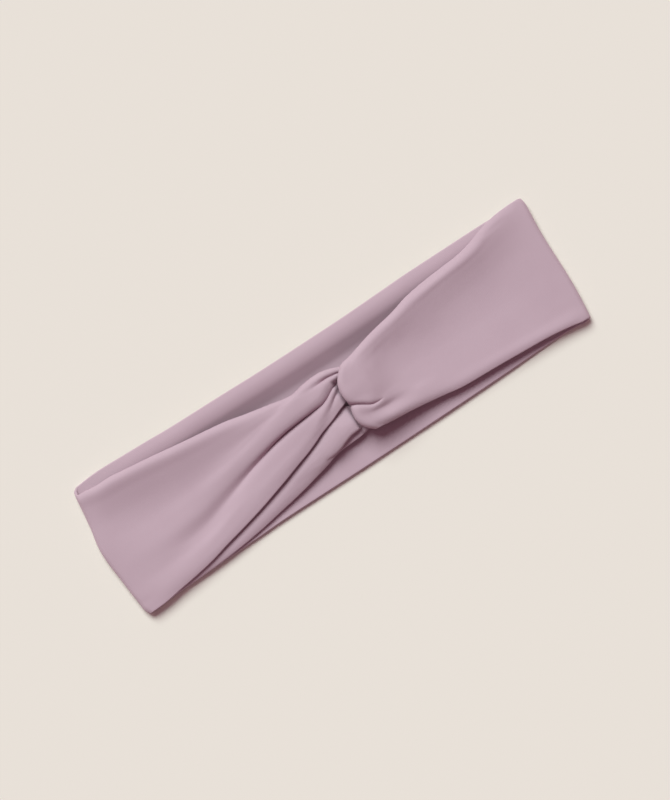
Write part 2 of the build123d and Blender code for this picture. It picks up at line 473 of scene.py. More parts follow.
# The left strip's lower leg: at each x, (y, z) where each of the same lines crosses, outer edge first
LEFT_LOWER: tuple[Section, ...] = (
    (-118, ((-32.4, 2.5), (-30, 2.5), (-28, 2.5), (-25, 2.5), (-21.5, 2.5), (-17, 2.5), (-12, 2.5),
            (-6, 2.5), (1, 2.5), (8, 2.5), (15, 2.5), (22, 2.5), (29, 2.5))),
    (-100, ((-32.3, 2.5), (-31, 2.9), (-29.5, 2.9), (-27, 2.8), (-24, 2.7), (-20, 2.6), (-15, 2.5),
            (-9, 2.4), (-2, 2.4), (6, 2.4), (14, 2.4), (21, 2.4), (27, 2.4))),
    (-81, ((-31.6, 2.7), (-30.2, 3.2), (-29, 3.3), (-27.6, 3.2), (-25.5, 3.0), (-22.5, 2.8), (-18.5, 2.7),
           (-13.5, 2.6), (-8, 2.5), (-1, 2.5), (7, 2.5), (15, 2.5), (22, 2.5))),
    (-60, ((-29.6, 3.0), (-27.6, 3.8), (-26, 4.0), (-24.6, 3.9), (-23, 3.5), (-20.5, 3.2), (-17.5, 3.0),
           (-14, 2.9), (-10, 2.8), (-4, 2.7), (2, 2.6), (8, 2.6), (14, 2.6))),
    (-45, ((-27.1, 3.3), (-25, 4.3), (-23.4, 4.6), (-21.8, 4.6), (-20.2, 4.3), (-18, 3.8), (-15.5, 3.5),
           (-12.5, 3.3), (-9, 3.2), (-5, 3.0), (-0.5, 2.9), (4, 2.8), (9, 2.8))),
    (-36, ((-25.6, 3.7), (-23.4, 4.7), (-21.7, 5.1), (-20.2, 5.2), (-18.6, 5.0), (-16.4, 4.4), (-14, 4.1),
           (-11.4, 3.8), (-8.4, 3.6), (-5, 3.4), (-1.5, 3.2), (2.5, 3.0), (6, 3.0))),
    (-27, ((-23.8, 4.1), (-21.7, 5.1), (-20.2, 5.5), (-18.9, 5.8), (-17.3, 5.9), (-14.6, 5.3),
           (-12.6, 4.8), (-10.2, 4.5), (-7.6, 4.2), (-5, 3.9), (-2.2, 3.6), (0.8, 3.4), (4, 3.2))),
    (-18, ((-21.5, 4.6), (-20.3, 5.6), (-19.1, 6.3), (-17.7, 6.7), (-15.9, 6.9), (-13.4, 6.5),
           (-11.4, 5.7), (-9.2, 5.1), (-6.8, 4.6), (-4.6, 4.3), (-2.4, 4.0), (-0.2, 3.8), (2, 3.6))),
    (-13, ((-20.3, 4.9), (-19.6, 5.7), (-19.1, 6.3), (-18.4, 6.9), (-16.4, 7.5), (-13.2, 7.3),
           (-10.7, 6.4), (-8.5, 5.6), (-6.3, 5.1), (-4.2, 4.7), (-2.3, 4.4), (-0.4, 4.1), (1.5, 3.8))),
    (-9, ((-19.2, 4.9), (-18.4, 5.1), (-17.4, 5.2), (-18.2, 7.1), (-16.0, 8.1), (-12.6, 8.0), (-10, 7.1),
          (-7.8, 6.2), (-5.8, 5.5), (-3.8, 5.0), (-2.2, 4.7), (-0.6, 4.3), (1, 4.0))),
    (-3, ((-18.8, 5.2), (-17.3, 5.5), (-14, 5.4), (-16.2, 8.2), (-14.1, 9.0), (-11.2, 9.0), (-9, 8.5),
          (-6.9, 7.5), (-5.2, 6.6), (-3.6, 6.0), (-2.4, 5.5), (-1, 5.0), (0.4, 4.4))),
    (2, ((-18.6, 5.5), (-17.2, 5.8), (-13.4, 5.7), (-15.0, 8.7), (-13.2, 9.3), (-11, 9.3), (-9, 8.7),
         (-7.1, 7.8), (-5.6, 7.1), (-4.2, 6.5), (-3.2, 6.0), (-2, 5.4), (-0.8, 4.8))),
    (10, ((-17.4, 6.2), (-16.2, 6.5), (-14, 6.9), (-14.8, 9.2), (-13.6, 9.5), (-12.4, 9.8), (-11.2, 9.7),
          (-10.2, 9.4), (-9.3, 9.1), (-8.6, 8.8), (-8, 8.4), (-7.4, 8.0), (-6.8, 7.6))),
)

# The right strip's upper leg, from its top edge to its bottom one; each line ends where it rolls over
RIGHT_UPPER: dict[str, Line] = {
    "top edge": (
        (120, 32.4, 4.3), (118, 32.5, 4.5), (108, 31.8, 5.4), (101.7, 30.6, 5.9), (92.5, 27.7, 6.5),
        (87, 26.3, 6.8), (76, 25.3, 7.1), (65, 24.4, 7.4), (55, 23.0, 7.8), (45, 20.3, 8.4),
        (38, 19.1, 9.2), (31.7, 17.8, 10.2), (25.4, 16.1, 11.2), (18.2, 14.2, 12.4), (14.6, 13.4, 12.8),
        (12.7, 12.5, 12.9),
    ),
    "top ridge": (
        (120, 30.2, 4.6), (108, 28.8, 6.6), (101.7, 27.5, 7.4), (92.5, 24.3, 8.3), (87, 23.1, 8.6),
        (76, 22.4, 9.0), (65, 21.4, 9.4), (55, 19.9, 9.7), (45, 17.7, 10.1), (38, 16.6, 10.8),
        (31.7, 15.3, 11.8), (25.4, 13.8, 12.9), (18.2, 12.3, 14.0), (14, 11.9, 14.4), (11.2, 10.9, 14.4),
    ),
    "upper slope": (
        (120, 26.5, 4.7), (108, 25.3, 6.3), (92.5, 21.2, 7.6), (76, 19.4, 8.3), (65, 18.2, 8.6),
        (55, 16.8, 9.1), (45, 15.0, 9.6), (38, 13.8, 10.4), (31.7, 12.6, 11.5), (25.4, 11.6, 13.0),
        (18.2, 10.6, 14.6), (9.7, 9.5, 15.0),
    ),
    "lower slope": (
        (120, 21.0, 4.6), (108, 19.4, 5.4), (92.5, 16.6, 6.3), (76, 15.0, 7.0), (65, 13.8, 7.4),
        (55, 12.8, 8.0), (45, 11.8, 8.6), (38, 10.9, 9.5), (31.7, 9.9, 10.7), (25.4, 8.9, 12.8),
        (18.2, 8.0, 14.9), (8.0, 7.2, 15.2),
    ),
    "foot of the slope": (
        (120, 13.0, 4.5), (108, 12.5, 4.7), (92.5, 11.0, 5.2), (76, 9.9, 5.8), (65, 9.1, 6.3),
        (55, 8.4, 7.0), (45, 7.8, 7.5), (38, 7.1, 8.5), (31.7, 6.3, 10.0), (25.4, 5.6, 12.6),
        (18.2, 4.9, 15.0), (7.0, 4.4, 15.3),
    ),
    "upper middle": (
        (120, 5.0, 4.5), (92.5, 4.0, 4.6), (76, 3.6, 5.1), (55, 3.2, 6.1), (45, 2.9, 6.8), (38, 2.6, 7.9),
        (31.7, 2.1, 9.5), (25.4, 1.6, 12.2), (18.2, 1.4, 15.0), (6.7, 1.0, 15.4),
    ),
    "middle": (
        (120, -3.0, 4.5), (92.5, -3.4, 4.5), (76, -3.3, 4.9), (55, -3.0, 5.8), (45, -2.8, 6.5),
        (38, -2.8, 7.6), (31.7, -2.9, 9.3), (25.4, -3.2, 11.8), (18.2, -3.2, 14.6), (7.0, -1.6, 15.0),
    ),
    "tuck, upper lip": (
        (120, -10.0, 4.6), (92.5, -9.6, 4.8), (76, -8.8, 5.1), (55, -8.0, 6.0), (45, -7.6, 6.7),
        (38, -7.2, 7.8), (31.7, -6.9, 9.3), (25, -7.2, 11.5), (19.5, -8.1, 13.4), (16.4, -7.7, 14.1),
        (13.8, -6.2, 14.3), (10.8, -4.2, 14.4), (7.7, -2.9, 14.3),
    ),
    "tuck": (
        (120, -14.5, 4.6), (92.5, -13.6, 5.0), (76, -12.6, 5.3), (55, -11.2, 6.15), (45, -10.2, 6.9),
        (38, -9.6, 7.9), (31.7, -9.1, 9.4), (25, -8.9, 11.4), (21, -9.3, 12.6), (19.0, -9.6, 12.4),
        (16.4, -9.3, 11.5), (13.7, -7.8, 11.2), (11, -5.8, 11.2), (8.6, -4.4, 11.4),
    ),
    "tuck, lower lip": (
        (120, -18.5, 4.6), (92.5, -17.0, 5.2), (76, -15.8, 5.5), (55, -14.0, 6.3), (45, -12.8, 7.1),
        (38, -12.0, 8.1), (31.7, -11.4, 9.5), (25, -10.8, 11.2), (19.5, -10.5, 12.9), (15.9, -9.9, 13.5),
        (12.9, -8.2, 13.7), (10.0, -6.3, 13.8), (7.2, -5.0, 13.7),
    ),
    "lower lobe": (
        (120, -23.0, 4.5), (92.5, -21.0, 5.5), (76, -19.8, 5.8), (55, -18.0, 6.5), (45, -16.3, 7.4),
        (38, -15.2, 8.6), (31.7, -14.4, 9.5), (25, -13.5, 10.4), (21, -13.2, 11.1), (18.2, -12.8, 11.9),
        (13, -12.0, 13.0), (5.9, -9.8, 13.8),
    ),
    "bottom ridge": (
        (120, -28.0, 4.4), (108, -26.6, 5.4), (92.5, -24.8, 6.0), (71.7, -23.2, 6.3), (55, -22.3, 6.7),
        (45, -20.6, 7.4), (36, -19.0, 8.9), (27, -17.9, 10.7), (22, -17.6, 11.7), (18.2, -17.2, 12.3),
        (13, -16.4, 12.8), (7.0, -14.4, 13.3),
    ),
    "bottom edge": (
        (120, -31.5, 4.2), (115, -29.8, 4.3), (109, -28.8, 4.7), (101.7, -27.7, 5.1), (88, -26.7, 5.5),
        (71.7, -25.7, 5.6), (55, -24.8, 5.8), (45.2, -23.2, 6.2), (36.2, -21.8, 7.3), (27.2, -20.6, 8.9),
        (18.2, -19.8, 10.3), (14, -19.4, 10.9), (11.2, -18.8, 11.3),
    ),
}

# Where the side folds reach, as (y, x)
LEFT_OUTLINE = (
    (-34, -118.5), (-33, -119.9), (-30.8, -120.9), (-26.7, -121.3), (-18.3, -122.0), (-10, -122.6),
    (-1.7, -123.2), (2.5, -123.1), (12.5, -121.3), (23.3, -119.7), (32.1, -118.4), (34, -117.8),
)
RIGHT_OUTLINE = (
    (-33, 119.2), (-31.3, 119.8), (-26.7, 120.4), (-18.3, 121.3), (-6.7, 121.9), (10.8, 122.1),
    (20, 122.7), (29.2, 123.4), (31.2, 123.2), (33, 122.2),
)

# Faint puckers in the front
PUCKERS = (
    Pucker((56.0, 21.6), (81.0, 24.0), 0.32, 1.0),
    Pucker((98.0, 26.6), (113.0, 28.5), 0.22, 1.1),
    Pucker((-48.0, 5.2), (-17.0, 12.0), 0.16, 1.0),
)


def outline_x(outline: tuple[tuple[float, float], ...], y: np.ndarray) -> np.ndarray:
    """How far a side fold reaches.

    Args:
        outline: The fold's outline, as (y, x).
        y: The places to find it at.

    Returns:
        The x at each of those places.
    """
    ys, xs = np.array(outline, float).T
    return value_along(ys, xs, y)


@dataclass(frozen=True)
class Cut:
    """How a finished sheet was cut: its length, its width at the ends and its width at the waist."""

    length: float
    width: float
    waist: float

    @property
    def flat(self) -> tuple[float, float]:
        """Its width and length in metres."""
        return mm(self.width), mm(self.length)

    @property
    def area(self) -> float:
        """Its flat area in square metres, tapering evenly from the ends to the waist."""
        return mm(self.length) * mm((self.width + self.waist) / 2)


# ---------------------------------------------------------------------------------------------------------
# Finishes
# ---------------------------------------------------------------------------------------------------------


def new_material(name: str) -> tuple[bpy.types.Material, bpy.types.NodeTree, bpy.types.Node]:
    """An empty node material with its Principled shader.

    Args:
        name: The material's name.

    Returns:
        The material, its node tree and the shader node.
    """
    material = bpy.data.materials.new(name)
    material.use_nodes = True
    tree = material.node_tree
    return material, tree, tree.nodes["Principled BSDF"]


def node(tree: bpy.types.NodeTree, kind: str, **settings: object) -> bpy.types.Node:
    """Adds a node and sets its options.

    Args:
        tree: Where it goes.
        kind: Its type's name.
        **settings: Its options.

    Returns:
        The node.
    """
    made = tree.nodes.new(kind)
    for key, value in settings.items():
        setattr(made, key, value)
    return made


def math_node(tree: bpy.types.NodeTree, operation: str, *inputs: object) -> bpy.types.NodeSocket:
    """Adds a math node on sockets or numbers, and gives its output.

    Args:
        tree: Where it goes.
        operation: What it works out.
        *inputs: A socket or a number for each of its inputs.

    Returns:
        The output socket.
    """
    made = node(tree, "ShaderNodeMath", operation=operation)
    for slot, value in zip(made.inputs, inputs):
        if isinstance(value, (int, float)):
            slot.default_value = value
        else:
            tree.links.new(value, slot)
    return made.outputs[0]


WALE = 0.00062  # a stitch's width, in metres
COURSE = 0.00048  # a stitch's height, in metres
NAP = 0.5


def knit_group() -> bpy.types.NodeTree:
    """The knit: columns of stitches, each a pair of slanted legs, and the soft nap over them.

    Returns:
        A node group with inputs Wale and Course, the stitch's width and height in metres, and Nap, and with
        outputs Height and Shade; Shade is painted shade, darker where the knit lies low in the stitches'
        hollows.
    """
    group = bpy.data.node_groups.new("jersey_knit", "ShaderNodeTree")
    for name, value in (("Wale", WALE), ("Course", COURSE), ("Nap", NAP)):
        socket = group.interface.new_socket(name, in_out="INPUT", socket_type="NodeSocketFloat")
        socket.default_value = value
    group.interface.new_socket("Height", in_out="OUTPUT", socket_type="NodeSocketFloat")
    group.interface.new_socket("Shade", in_out="OUTPUT", socket_type="NodeSocketFloat")
    entry = node(group, "NodeGroupInput")
    out = node(group, "NodeGroupOutput")
    uv = node(group, "ShaderNodeUVMap", uv_map="cloth")
    parts = node(group, "ShaderNodeSeparateXYZ")
    group.links.new(uv.outputs["UV"], parts.inputs[0])
    column = math_node(group, "DIVIDE", parts.outputs["Y"], entry.outputs["Wale"])
    across = math_node(group, "PINGPONG", column, 0.5)
    slant = math_node(group, "MULTIPLY", across, 0.9)
    course = math_node(group, "DIVIDE", parts.outputs["X"], entry.outputs["Course"])
    row = math_node(group, "ADD", course, slant)
    legs = math_node(group, "SINE", math_node(group, "MULTIPLY", row, 2 * math.pi))
    ribs = math_node(group, "SINE", math_node(group, "MULTIPLY", column, 2 * math.pi))
    leg_height = math_node(group, "MULTIPLY", legs, 0.35)
    stitches = math_node(group, "ADD", leg_height, math_node(group, "MULTIPLY", ribs, 0.4))
    nap = node(group, "ShaderNodeTexNoise", noise_dimensions="3D")
    nap.inputs["Scale"].default_value = 2400.0
    nap.inputs["Detail"].default_value = 3.0
    place = node(group, "ShaderNodeTexCoord")
    group.links.new(place.outputs["Object"], nap.inputs["Vector"])
    loose = math_node(group, "SUBTRACT", nap.outputs[0], 0.5)
    fuzz = math_node(group, "MULTIPLY", loose, entry.outputs["Nap"])
    height = math_node(group, "ADD", stitches, math_node(group, "MULTIPLY", fuzz, 2.0))
    group.links.new(height, out.inputs["Height"])
    # Painted shade: lower knit gives a darker Shade, as if the stitches' hollows lay in shadow
    group.links.new(math_node(group, "MULTIPLY_ADD", height, 0.25, 0.5), out.inputs["Shade"])
    return group


@dataclass(frozen=True)
class JerseyFinish:
    """Brushed stretch jersey: matte, with a short nap, a fine knit, a little unevenness in the dye, and
    painted shade that darkens the knit's hollows.
    """

    name: str
    color: tuple[float, float, float]
    # deep: the darker tone, taken by uneven dye and by the painted shade in the knit's hollows
    deep: tuple[float, float, float]
    wale: float = WALE
    course: float = COURSE
    nap: float = NAP
    bump: float = 0.00004
    roughness: float = 0.92
    sheen: float = 0.35
    sheen_tint: tuple[float, float, float] = (1.0, 0.72, 0.84)

    def material(self, knit: bpy.types.NodeTree) -> bpy.types.Material:
        """The finish as a material.

        Args:
            knit: The knit's node group.

        Returns:
            The material.
        """
        material, tree, shader = new_material(self.name)
        weave = node(tree, "ShaderNodeGroup", node_tree=knit)
        weave.inputs["Wale"].default_value = self.wale
        weave.inputs["Course"].default_value = self.course
        weave.inputs["Nap"].default_value = self.nap
        place = node(tree, "ShaderNodeTexCoord")
        cloud = node(tree, "ShaderNodeTexNoise", noise_dimensions="3D")
        cloud.inputs["Scale"].default_value = 45.0
        cloud.inputs["Detail"].default_value = 4.0
        tree.links.new(place.outputs["Object"], cloud.inputs["Vector"])
        # Painted shade: the knit's Shade pulls the colour towards deep in the stitches' hollows; the noise
        # cloud adds uneven dye
        knit_shade = math_node(tree, "MULTIPLY", weave.outputs["Shade"], 0.65)
        dye_and_knit_shade = math_node(tree, "MULTIPLY_ADD", cloud.outputs[0], 0.35, knit_shade)
        mix = node(tree, "ShaderNodeMix", data_type="RGBA")
        mix.inputs[6].default_value = (*self.deep, 1.0)
        mix.inputs[7].default_value = (*self.color, 1.0)
        spread = node(tree, "ShaderNodeMapRange")
        spread.inputs["From Min"].default_value = 0.2
        spread.inputs["From Max"].default_value = 0.8
        tree.links.new(dye_and_knit_shade, spread.inputs["Value"])
        tree.links.new(spread.outputs[0], mix.inputs[0])
        tree.links.new(mix.outputs[2], shader.inputs["Base Color"])
        bump = node(tree, "ShaderNodeBump")
        bump.inputs["Distance"].default_value = self.bump
        tree.links.new(weave.outputs["Height"], bump.inputs["Height"])
        tree.links.new(bump.outputs[0], shader.inputs["Normal"])
        shader.inputs["Roughness"].default_value = self.roughness
        shader.inputs["Sheen Weight"].default_value = self.sheen
        shader.inputs["Sheen Roughness"].default_value = 0.5
        shader.inputs["Sheen Tint"].default_value = (*self.sheen_tint, 1.0)
        shader.inputs["Specular IOR Level"].default_value = 0.2
        return material


@dataclass(frozen=True)
class ThreadFinish:
    """Spun polyester thread: two plies twisted together, with a faint shine and painted shade in the twist's
    grooves.
    """

    name: str
    color: tuple[float, float, float]

    def material(self) -> bpy.types.Material:
        """The finish as a material."""
        material, tree, shader = new_material(self.name)
        place = node(tree, "ShaderNodeTexCoord")
        twist = node(tree, "ShaderNodeTexWave", wave_type="BANDS", bands_direction="DIAGONAL")
        twist.inputs["Scale"].default_value = 900.0
        tree.links.new(place.outputs["Object"], twist.inputs["Vector"])
        # Painted shade: where the twist's bands run low the thread is coloured darker, as if its grooves lay
        # in shadow
        mix = node(tree, "ShaderNodeMix", data_type="RGBA")
        mix.inputs[6].default_value = (*(0.7 * c for c in self.color), 1.0)
        mix.inputs[7].default_value = (*self.color, 1.0)
        tree.links.new(twist.outputs["Fac"], mix.inputs[0])
        tree.links.new(mix.outputs[2], shader.inputs["Base Color"])
        bump = node(tree, "ShaderNodeBump")
        bump.inputs["Distance"].default_value = 0.00005
        tree.links.new(twist.outputs["Fac"], bump.inputs["Height"])
        tree.links.new(bump.outputs[0], shader.inputs["Normal"])
        shader.inputs["Roughness"].default_value = 0.6
        return material


MAUVE_JERSEY = JerseyFinish("mauve_jersey", color=(0.58, 0.43, 0.49), deep=(0.50, 0.355, 0.415))
MAUVE_THREAD = ThreadFinish("mauve_thread", color=(0.45, 0.33, 0.39))
LABEL_SATIN = JerseyFinish("label_satin", color=(0.8, 0.77, 0.77), deep=(0.72, 0.68, 0.69), roughness=0.5)

# ---------------------------------------------------------------------------------------------------------
# The headband
# ---------------------------------------------------------------------------------------------------------


class Side(Enum):
    """A side of the headband, as the sign of its x."""

    LEFT = -1
    RIGHT = 1

    @property
    def outline(self) -> tuple[tuple[float, float], ...]:
        """How far this side's fold reaches."""
        return LEFT_OUTLINE if self is Side.LEFT else RIGHT_OUTLINE


@dataclass(frozen=True)
class SideFold:
    """A side fold: the cloth turns over from the front to the back band, round a seam at its end."""

    side: Side
    radius: float = 2.0
    groove: float = 0.22
    half_thickness: float = PLY_PAIR / 2
    angles: tuple[float, ...] = (62.0, 35.0, 11.0, 0.0, -11.0, -35.0, -62.0)

    def reach(self, y: np.ndarray) -> np.ndarray:
        """Where the turned cloth's middle is furthest out, along X, at the places y."""
        return outline_x(self.side.outline, y) - self.side.value * self.half_thickness

    def level(self, y: np.ndarray) -> np.ndarray:
        """Where the cloth stops being level and starts to turn, along X, at the places y."""
        return self.reach(y) - self.side.value * self.radius

    def net(self, front: np.ndarray, back: np.ndarray) -> np.ndarray:
        """The net round the fold.

        Args:
            front: The front's last points, one for each line.
            back: The back band's last points.

        Returns:
            Shape (stations, lines, 3), from the front to the back.
        """
        rows = []
        for angle in self.angles:
            up, out = math.sin(math.radians(angle)), math.cos(math.radians(angle))
            y = back[:, 1] + (front[:, 1] - back[:, 1]) * (1 + up) / 2
            z = back[:, 2] + (front[:, 2] - back[:, 2]) * (1 + up) / 2
            inward = self.radius * (1 - out) + (self.groove if angle == 0 else 0.0)
            rows.append(np.stack([self.reach(y) - self.side.value * inward, y, z], axis=-1))
        return np.stack(rows)

    @property
    def seam_station(self) -> int:
        """The seam's place among the fold's stations."""
        return self.angles.index(0.0)


@dataclass(frozen=True)
class BackBand:
    """The back band: a double ply that lies on the table, with its top edge rolled up a little."""

    rest_z: float = 0.7
    stations: int = 45
    # below the roll: shares of the way up from the bottom edge, and how far the cloth stands off the table
    plain: tuple[tuple[float, float], ...] = (
        (0.0, 0.75), (0.05, 0.7), (0.15, 0.65), (0.35, 0.4), (0.6, 0.1), (0.82, 0.0),
    )
    # top and bottom edges, as (x, y)
    top: tuple[tuple[float, float], ...] = (
        (-118, 33.0), (-114, 33.4), (-107, 33.7), (-94, 33.2), (-81, 32.7), (-69, 32.1), (-45, 31.7),
        (-18, 31.1), (18, 31.0), (45, 31.5), (60, 31.8), (98, 31.8), (110, 31.3), (120, 31.4),
    )
    bottom: tuple[tuple[float, float], ...] = (
        (-120, -33.6), (-114, -33.2), (-104, -32.6), (-81, -31.9), (-60, -31.5), (-45, -31.1), (0, -31.3),
        (45, -31.1), (76, -30.7), (97, -30.3), (108, -30.2), (116, -30.8), (120, -31.6),
    )
    # the rolled edge's section: places, and heights at full roll
    roll: tuple[tuple[float, float], ...] = (
        (10.0, 0.70), (14.0, 0.85), (17.0, 1.50), (20.5, 3.45), (23.8, 5.30), (27.2, 5.90), (31.0, 5.20),
    )
    # how much of the roll there is along the band
    roll_share: tuple[tuple[float, float], ...] = (
        (-116, 0.0), (-106, 0.3), (-88, 0.85), (-65, 1.0), (62, 1.0), (88, 0.8), (108, 0.25), (116, 0.0),
    )

    def net(self, left: SideFold, right: SideFold) -> np.ndarray:
        """The band's net, from the left fold to the right one.

        Args:
            left: The fold at its left end.
            right: The fold at its right end.

        Returns:
            Shape (stations, lines, 3), with the top edge first.
        """
        t = np.linspace(0, 1, self.stations)
        along = (t - 0.5) * 2 * (SEAM_X - 3.5)
        high = value_along(*np.array(self.top, float).T, along)
        low = value_along(*np.array(self.bottom, float).T, along)
        lift = value_along(*np.array(self.roll_share, float).T, along)
        roll_top = self.roll[-1][0]
        roll_foot = self.roll[0][0] - roll_top + high
        lines = [(place - roll_top + high, self.rest_z + (z - self.rest_z) * lift) for place, z in self.roll]
        plain = [(low + (roll_foot - low) * share, self.rest_z + rise * lift) for share, rise in self.plain]
        lines = plain + lines
        rows = [np.stack([along, y, z], axis=-1) for y, z in lines[::-1]]
        net = np.stack(rows, axis=1)
        start, end = left.level(net[0, :, 1]) + 1.0, right.level(net[-1, :, 1]) - 1.0
        net[:, :, 0] = start * (1 - t[:, None]) + end * t[:, None]
        return net


# A leg's stations, as shares of the way from the side to the knot
LEG_STATIONS = (
    0.0, 0.05, 0.11, 0.18, 0.26, 0.34, 0.42, 0.5, 0.57, 0.64, 0.7, 0.75, 0.8, 0.84, 0.87, 0.9, 0.925, 0.945,
    0.9515, 0.957, 0.9625, 0.9675, 0.9725, 0.979, 0.988, 1.0,
)


def legs_net(lines: list[Line], starts: np.ndarray, ends: np.ndarray) -> np.ndarray:
    """A leg's net of points, closer together towards the knot.

    Args:
        lines: The leg's fold lines.
        starts: Where each line starts at the side, along X.
        ends: Where each line ends at the knot.

    Returns:
        Shape (stations, lines, 3).
    """
    t = np.array(LEG_STATIONS)
    return np.stack([along_line(line, a + t * (b - a)) for line, a, b in zip(lines, starts, ends)], axis=1)


@dataclass(frozen=True)
class LeftStrip:
    """The left strip: along the upper leg, round the knot in the plane of the band, back along the lower leg.

    The dip is where the right strip presses it down. It starts at x = dip_from, or dip_lead sooner below
    y = lead_y, and it fades out below z = dip_bottom and above y = dip_edge_y.
    """

    end_x: float = 10.0
    turn_y: float = -2.5
    squeeze: float = 0.85
    shrink: float = 0.15
    lower_end: float = -118.0
    dip: float = 3.6
    dip_from: float = 4.9
    dip_length: float = 1.8
    dip_lead: float = 0.7
    lead_y: float = -3.0
    dip_bottom: float = 5.0
    dip_rise: float = 4.0
    dip_edge_y: float = 9.8
    fade: float = 3.0
    turn_angles: tuple[float, ...] = (22.0, 45.0, 68.0, 90.0, 112.0, 135.0, 158.0)

    def pressed(self, leg: np.ndarray) -> np.ndarray:
        """Presses a leg down where the right strip crosses it, and more so where the leg stands high.

        Args:
            leg: The leg's net.

        Returns:
            The net with the dip in it.
        """
        x, y, z = np.moveaxis(leg, -1, 0)
        start = self.dip_from - self.dip_lead * np.clip((self.lead_y - y) / self.fade, 0, 1)
        t = np.clip((x - start) / self.dip_length, 0, 1)
        share = np.clip((z - self.dip_bottom) / self.dip_rise, 0, 1)
        share = share * np.clip((self.dip_edge_y - y) / self.fade, 0, 1)
        out = leg.copy()
        out[..., 2] -= self.dip * share * t * t * (3 - 2 * t)
        return out

    def turn(self, into: np.ndarray, out: np.ndarray) -> np.ndarray:
        """The net round the knot, between the ends of the two legs.

        Args:
            into: The upper leg's last points, one for each line.
            out: The lower leg's last points.

        Returns:
            Shape (stations, lines, 3).
        """
        rows = []
        for angle in np.radians(self.turn_angles):
            share = angle / math.pi
            radius = (into[:, 1] - self.turn_y) * (1 - share) + (self.turn_y - out[:, 1]) * share
            radius = radius * (1 - self.shrink * math.sin(angle))
            x = self.end_x + radius * math.sin(angle) * self.squeeze
            y = self.turn_y + radius * math.cos(angle)
            z = into[:, 2] * (1 - share) + out[:, 2] * share
            rows.append(np.stack([x, y, z], axis=-1))
        return np.stack(rows)

    def net(self, fold: SideFold) -> np.ndarray:
        """The strip's net, from the lower leg's end round to the side fold.

        Args:
            fold: The side fold.

        Returns:
            Shape (stations, lines, 3).
        """
        upper = list(LEFT_UPPER.values())
        count = len(upper)
        lower = [tuple((x, *section[j]) for x, section in LEFT_LOWER) for j in range(count)]
        knot = np.full(count, self.end_x)
        over = self.pressed(legs_net(upper, fold.level(np.array([line[0][1] for line in upper])) + 1.0, knot))
        under = self.pressed(legs_net(lower, np.full(count, self.lower_end), knot))
        return np.concatenate([under, self.turn(over[-1], under[-1])[::-1], over[::-1]])


@dataclass(frozen=True)
class RightStrip:
    """The right strip: over the left one to the knot, down between its legs, and back underneath."""

    half_thickness: float = PLY_PAIR / 2
    roll_x: float = 2.6
    roll_z: float = 1.7
    run_in: float = 3.0
    roll_angles: tuple[float, ...] = (90.0, 65.0, 40.0, 15.0, -10.0, -35.0, -60.0, -85.0)
    post: tuple[float, float] = (10.0, -2.5)
    post_radii: tuple[float, float] = (2.2, 3.2)
    post_heights: tuple[float, ...] = (10.4, 8.2, 6.4)
    # the lower leg, from the knot to the side: x, lowest y, highest y, z
    under: tuple[tuple[float, float, float, float], ...] = (
        (13.0, -6.5, 2.0, 5.0), (18.0, -9.5, 5.5, 4.3), (26.0, -14.0, 10.5, 3.9),
        (40.0, -18.5, 15.5, 3.4), (60.0, -22.0, 21.0, 3.0), (90.0, -25.5, 26.5, 2.75),
        (117.5, -29.0, 29.5, 2.5),
    )

    def roll_over(self, line: Line) -> tuple[float, np.ndarray]:
        """How one line ends at the knot, where the strip rolls over its own edge and down.

        Args:
            line: The line, from the side to the knot.

        Returns:
            The x at which the roll takes over from the line, and the roll's points.
        """
        last, before = np.array(line[-1]), np.array(line[-2])
        outward = unit((last - before) * (1, 1, 0))
        centre = last - outward * self.roll_x
        points = []
        for angle in np.radians(self.roll_angles):
            reach = outward * (self.roll_x - self.half_thickness) * math.cos(angle)
            points.append(centre + reach + np.array((0, 0, self.roll_z * (math.sin(angle) - 1))))
        return float(centre[0] - outward[0] * self.run_in), np.array(points)

    def net(self, fold: SideFold) -> np.ndarray:
        """The strip's net, from the side fold to the lower leg's end.

        Args:
            fold: The side fold.

        Returns:
            Shape (stations, lines, 3).
        """
        lines = list(RIGHT_UPPER.values())
        count = len(lines)
        ends, rolls = zip(*(self.roll_over(line) for line in lines))
        over = legs_net(lines, fold.level(np.array([line[0][1] for line in lines])) - 1.0, np.array(ends))
        round_it = np.linspace(0, math.pi, count)
        x = self.post[0] - self.post_radii[0] * np.sin(round_it)
        y = self.post[1] + self.post_radii[1] * np.cos(round_it)
        post = [np.stack([x, y, np.full(count, z)], axis=-1) for z in self.post_heights]
        under = [
            np.stack([np.full(count, x), np.linspace(high, low, count), np.full(count, z)], axis=-1)
            for x, low, high, z in self.under
        ]
        return np.concatenate([over, np.stack(rolls, axis=1), np.stack(post), np.stack(under)])


@dataclass(frozen=True)
class Bend:
    """How a piece is meant to bend across a joint: at start it would follow the first body, and at end the
    second. The bend is only recorded here; nothing makes it.
    """

    first: str
    second: str
    start: Point
    end: Point

    def apply(self, piece: bpy.types.Object) -> None:
        """Bakes the piece's placement into its mesh; the bend itself is not made.

        Args:
            piece: The piece.
        """
        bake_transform(piece)


# the cloth round the left fold, from the height at which it is the front's to that at which it is the back's
LEFT_FOLD_BEND = Bend("front_left", "back_left", (-SEAM_X, 0.0, 3.6), (-SEAM_X, 0.0, 1.4))


